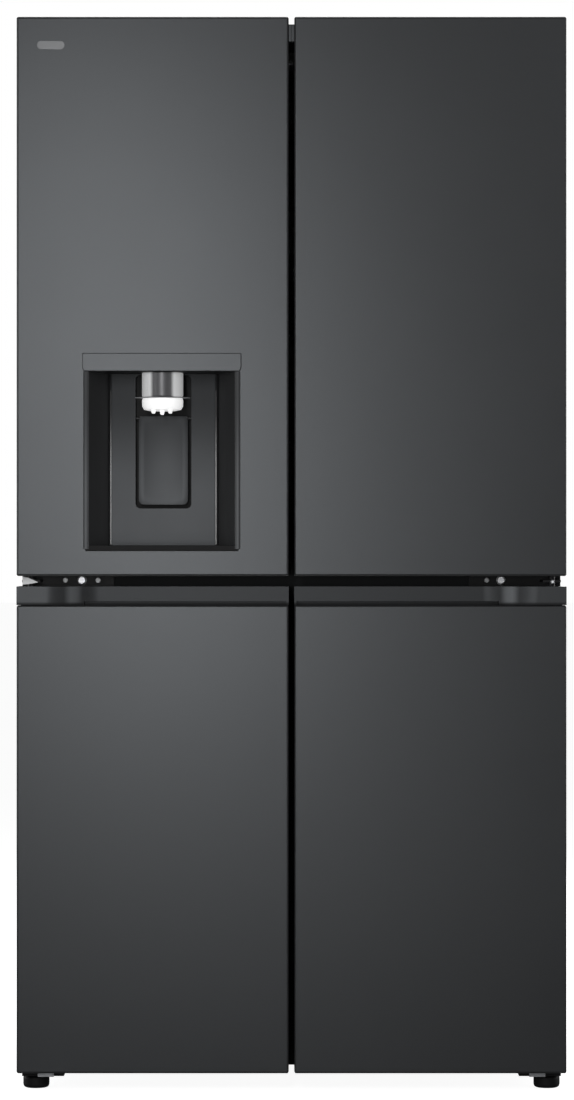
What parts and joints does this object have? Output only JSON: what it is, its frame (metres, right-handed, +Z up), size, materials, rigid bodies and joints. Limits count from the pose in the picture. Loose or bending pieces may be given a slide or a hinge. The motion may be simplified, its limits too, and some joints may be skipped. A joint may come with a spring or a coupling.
{
  "type": "refrigerator",
  "caption": "French door refrigerator with two upper doors, two lower freezer doors, an ice and water dispenser, hidden grips and sliding drawers.",
  "frame": {"origin": "on the floor, under the middle of the bounding box", "axes": "+Z up, the doors face -Y, +X to the right of someone facing the doors"},
  "size_m": [0.914, 0.742, 1.79],
  "materials": {
    "door_steel": "matte dark grey coated steel",
    "handle_strip": "satin dark grey plastic",
    "cabinet_steel": "satin dark grey painted steel",
    "plated_steel": "plain galvanised steel",
    "hinge_steel": "bright plated steel",
    "white_plastic": "satin white moulded plastic",
    "clear_plastic": "clear moulded plastic",
    "shelf_glass": "clear toughened glass with an edge strip",
    "dark_plastic": "matte black plastic",
    "dispenser_plastic": "satin dark plastic",
    "chrome": "bright chrome",
    "seal_rubber": "soft grey magnetic seal",
    "foot_rubber": "black rubber",
    "foam": "rigid insulating foam",
    "fin_aluminium": "bare aluminium fins",
    "compressor_black": "black enamel"
  },
  "bodies": {
    "cabinet": {"cabinet_shell": "cabinet_steel", "back_panel": "plated_steel", "cabinet_foam": "foam", "fridge_liner": "white_plastic", "freezer_liner": "white_plastic", "base_frame": "plated_steel", "machine_cover": "plated_steel", "top_cover": "handle_strip", "compressor": "compressor_black", "condenser": "fin_aluminium", "evaporator": "fin_aluminium", "freezer_duct_panel": "white_plastic", "fridge_duct_panel": "white_plastic", "glass_shelf_top": "shelf_glass", "glass_shelf_middle": "shelf_glass", "crisper_shelf": "shelf_glass", "top_hinge_left": "hinge_steel", "mid_hinge_left": "hinge_steel", "bottom_hinge_left": "hinge_steel", "top_hinge_right": "hinge_steel", "mid_hinge_right": "hinge_steel", "bottom_hinge_right": "hinge_steel"},
    "upper_left_door": {"upper_left_skin": "door_steel", "upper_left_liner": "white_plastic", "dispenser_housing": "dispenser_plastic", "dispenser_fascia": "door_steel", "dispenser_spout": "chrome", "ice_box": "white_plastic", "bin_left": "clear_plastic", "upper_left_gasket": "seal_rubber"},
    "upper_right_door": {"upper_right_skin": "door_steel", "upper_right_liner": "white_plastic", "bin_right_top": "clear_plastic", "bin_right_middle": "clear_plastic", "bin_right_bottom": "clear_plastic", "upper_right_gasket": "seal_rubber"},
    "lower_left_door": {"lower_left_skin": "door_steel", "lower_left_liner": "white_plastic", "lower_left_grip": "handle_strip", "lower_left_gasket": "seal_rubber"},
    "lower_right_door": {"lower_right_skin": "door_steel", "lower_right_liner": "white_plastic", "lower_right_grip": "handle_strip", "lower_right_gasket": "seal_rubber"},
    "dispenser_paddle": {"dispenser_paddle": "dispenser_plastic"},
    "mullion": {"mullion": "dark_plastic"},
    "condenser_fan": {"condenser_fan": "dark_plastic"},
    "evaporator_fan": {"evaporator_fan": "dark_plastic"},
    "foot_left": {"foot_left": "foot_rubber"},
    "foot_right": {"foot_right": "foot_rubber"},
    "roller_left": {"roller_left": "dark_plastic"},
    "roller_right": {"roller_right": "dark_plastic"},
    "crisper_left": {"crisper_left": "clear_plastic"},
    "crisper_right": {"crisper_right": "clear_plastic"},
    "freezer_drawer_left_bottom": {"freezer_drawer_left_bottom": "clear_plastic"},
    "freezer_drawer_left_middle": {"freezer_drawer_left_middle": "clear_plastic"},
    "freezer_drawer_left_top": {"freezer_drawer_left_top": "clear_plastic"},
    "freezer_drawer_right_bottom": {"freezer_drawer_right_bottom": "clear_plastic"},
    "freezer_drawer_right_middle": {"freezer_drawer_right_middle": "clear_plastic"},
    "freezer_drawer_right_top": {"freezer_drawer_right_top": "clear_plastic"}
  },
  "joints": [
    {"name": "upper_left_door_hinge", "type": "hinge", "parent": "cabinet", "child": "upper_left_door", "pos_m": [-0.435, -0.317, 0.8575], "axis": [0, 0, -1], "range_deg": [0, 110]},
    {"name": "lower_left_door_hinge", "type": "hinge", "parent": "cabinet", "child": "lower_left_door", "pos_m": [-0.435, -0.317, 0.031], "axis": [0, 0, -1], "range_deg": [0, 110]},
    {"name": "upper_right_door_hinge", "type": "hinge", "parent": "cabinet", "child": "upper_right_door", "pos_m": [0.435, -0.317, 0.8575], "axis": [0, 0, 1], "range_deg": [0, 110]},
    {"name": "lower_right_door_hinge", "type": "hinge", "parent": "cabinet", "child": "lower_right_door", "pos_m": [0.435, -0.317, 0.031], "axis": [0, 0, 1], "range_deg": [0, 110]},
    {"name": "dispenser_paddle_hinge", "type": "hinge", "parent": "upper_left_door", "child": "dispenser_paddle", "pos_m": [-0.2155, -0.2765, 1.1225], "axis": [1, 0, 0], "range_deg": [0, 7], "stiffness_Nm_per_rad": 0.5},
    {"name": "mullion_hinge", "type": "hinge", "parent": "upper_left_door", "child": "mullion", "pos_m": [-0.034, -0.2367, 1.313], "axis": [0, 0, -1], "range_deg": [0, 90]},
    {"name": "condenser_fan_spin", "type": "hinge", "parent": "cabinet", "child": "condenser_fan", "pos_m": [-0.098, 0.252, 0.1428], "axis": [1, 0, 0], "continuous": true},
    {"name": "evaporator_fan_spin", "type": "hinge", "parent": "cabinet", "child": "evaporator_fan", "pos_m": [0, 0.2518, 0.746], "axis": [0, 1, 0], "continuous": true},
    {"name": "foot_left_turn", "type": "hinge", "parent": "cabinet", "child": "foot_left", "pos_m": [-0.428, -0.301, 0.01], "axis": [0, 0, 1], "continuous": true},
    {"name": "roller_left_spin", "type": "hinge", "parent": "cabinet", "child": "roller_left", "pos_m": [-0.402, 0.323, 0.02], "axis": [1, 0, 0], "continuous": true},
    {"name": "foot_right_turn", "type": "hinge", "parent": "cabinet", "child": "foot_right", "pos_m": [0.428, -0.301, 0.01], "axis": [0, 0, 1], "continuous": true},
    {"name": "roller_right_spin", "type": "hinge", "parent": "cabinet", "child": "roller_right", "pos_m": [0.402, 0.323, 0.02], "axis": [1, 0, 0], "continuous": true},
    {"name": "crisper_left_slide", "type": "slide", "parent": "cabinet", "child": "crisper_left", "axis": [0, -1, 0], "range_m": [0, 0.045]},
    {"name": "freezer_drawer_left_bottom_slide", "type": "slide", "parent": "cabinet", "child": "freezer_drawer_left_bottom", "axis": [0, -1, 0], "range_m": [0, 0.045]},
    {"name": "freezer_drawer_left_middle_slide", "type": "slide", "parent": "cabinet", "child": "freezer_drawer_left_middle", "axis": [0, -1, 0], "range_m": [0, 0.045]},
    {"name": "freezer_drawer_left_top_slide", "type": "slide", "parent": "cabinet", "child": "freezer_drawer_left_top", "axis": [0, -1, 0], "range_m": [0, 0.045]},
    {"name": "crisper_right_slide", "type": "slide", "parent": "cabinet", "child": "crisper_right", "axis": [0, -1, 0], "range_m": [0, 0.045]},
    {"name": "freezer_drawer_right_bottom_slide", "type": "slide", "parent": "cabinet", "child": "freezer_drawer_right_bottom", "axis": [0, -1, 0], "range_m": [0, 0.045]},
    {"name": "freezer_drawer_right_middle_slide", "type": "slide", "parent": "cabinet", "child": "freezer_drawer_right_middle", "axis": [0, -1, 0], "range_m": [0, 0.045]},
    {"name": "freezer_drawer_right_top_slide", "type": "slide", "parent": "cabinet", "child": "freezer_drawer_right_top", "axis": [0, -1, 0], "range_m": [0, 0.045]}
  ]
}
